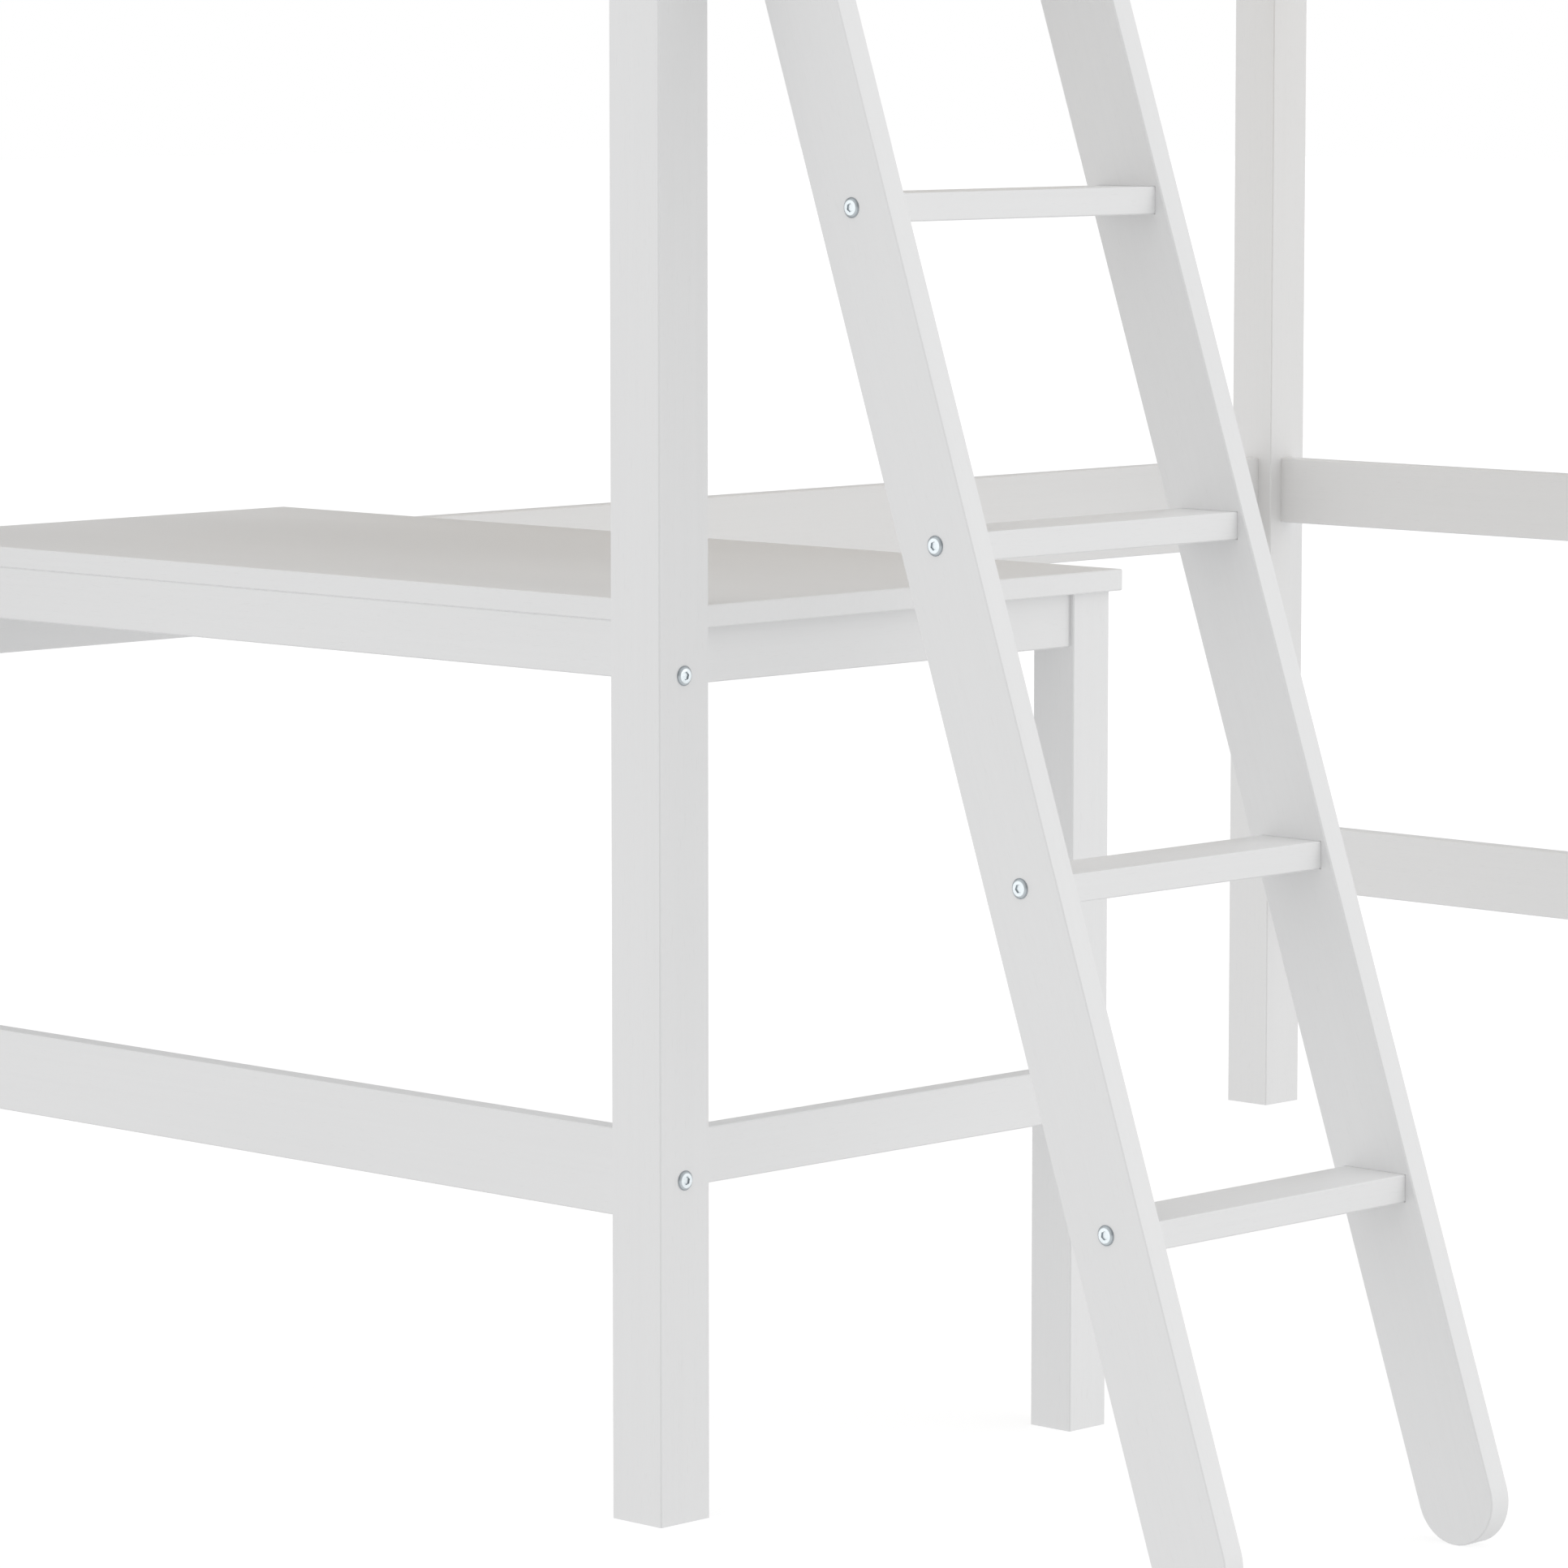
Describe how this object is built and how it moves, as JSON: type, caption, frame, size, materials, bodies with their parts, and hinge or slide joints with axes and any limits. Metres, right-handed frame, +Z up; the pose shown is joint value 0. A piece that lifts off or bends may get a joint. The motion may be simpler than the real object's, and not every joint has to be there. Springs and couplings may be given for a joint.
{
  "type": "loft bed",
  "caption": "White painted wooden loft bed with a slatted deck and guard boards, a desk built in under one end and a leaning ladder hooked over the side rail.",
  "frame": {"origin": "on the floor, under the middle of the bounding box", "axes": "+X along the bed, away from the desk end; +Y from the ladder side to the back; +Z up"},
  "size_m": [2.015, 1.609, 1.8],
  "materials": {
    "painted_wood": "satin white paint",
    "bare_pine": "planed, unpainted",
    "zinc_steel": "bright zinc plating"
  },
  "bodies": {
    "root": {"back_rail": "painted_wood", "deck_end_rail_left": "painted_wood", "deck_end_rail_right": "painted_wood", "deck_slat_01": "bare_pine", "deck_slat_02": "bare_pine", "deck_slat_03": "bare_pine", "deck_slat_04": "bare_pine", "deck_slat_05": "bare_pine", "deck_slat_06": "bare_pine", "deck_slat_07": "bare_pine", "deck_slat_08": "bare_pine", "deck_slat_09": "bare_pine", "deck_slat_10": "bare_pine", "deck_slat_11": "bare_pine", "deck_slat_12": "bare_pine", "deck_slat_13": "bare_pine", "deck_slat_14": "bare_pine", "desk_apron_end": "painted_wood", "desk_apron_front": "painted_wood", "desk_apron_inner": "painted_wood", "desk_bracket_back": "zinc_steel", "desk_bracket_bolts": "zinc_steel", "desk_bracket_front": "zinc_steel", "desk_leg": "painted_wood", "desk_stretcher": "painted_wood", "desk_top": "painted_wood", "end_rail_low_left": "painted_wood", "end_rail_low_right": "painted_wood", "end_rail_mid_right": "painted_wood", "guard_back_lower": "painted_wood", "guard_back_upper": "painted_wood", "guard_front_lower": "painted_wood", "guard_front_upper": "painted_wood", "guard_left_lower": "painted_wood", "guard_left_upper": "painted_wood", "guard_right_lower": "painted_wood", "guard_right_upper": "painted_wood", "guard_upright_back": "painted_wood", "guard_upright_entry": "painted_wood", "guard_upright_front": "painted_wood", "ladder_hook_bolts": "zinc_steel", "ladder_step_1": "painted_wood", "ladder_step_2": "painted_wood", "ladder_step_3": "painted_wood", "ladder_step_4": "painted_wood", "ladder_step_5": "painted_wood", "ladder_step_bolts": "zinc_steel", "ladder_stringer_left": "painted_wood", "ladder_stringer_right": "painted_wood", "post_back_left": "painted_wood", "post_back_right": "painted_wood", "post_front_left": "painted_wood", "post_front_right": "painted_wood", "rail_bolts": "zinc_steel", "side_rail_back": "painted_wood", "side_rail_front": "painted_wood", "slat_cleat_back": "painted_wood", "slat_cleat_front": "painted_wood"}
  },
  "joints": []
}
